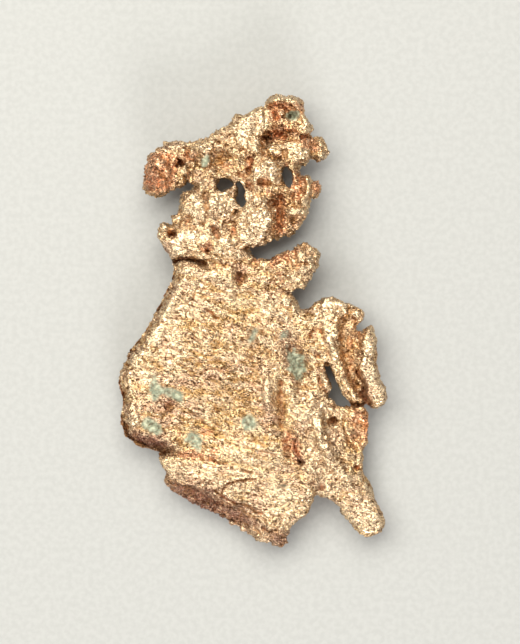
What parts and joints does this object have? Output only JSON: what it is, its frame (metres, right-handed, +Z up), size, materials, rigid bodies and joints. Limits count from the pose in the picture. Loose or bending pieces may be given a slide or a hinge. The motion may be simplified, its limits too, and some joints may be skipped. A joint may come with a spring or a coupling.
{
  "type": "native copper nugget",
  "caption": "Flat, water-worn native copper nugget with a broad smooth plate, a folded loop, a worn leg and a spongy, pitted upper end.",
  "frame": {"origin": "centre of the bounding box in plan, at the floor the nugget lies on", "axes": "+Y runs the long way from the broad ledge to the crown, +Z is up through the thin way, +X completes the right-handed frame towards the folded loop"},
  "size_m": [0.0539, 0.0905, 0.0113],
  "materials": {
    "native_copper": "natural worn copper, bright on the high grains, red-brown in the hollows, with thin green and grey patina stains"
  },
  "bodies": {
    "root": {"copper_nugget": "native_copper"}
  },
  "joints": []
}
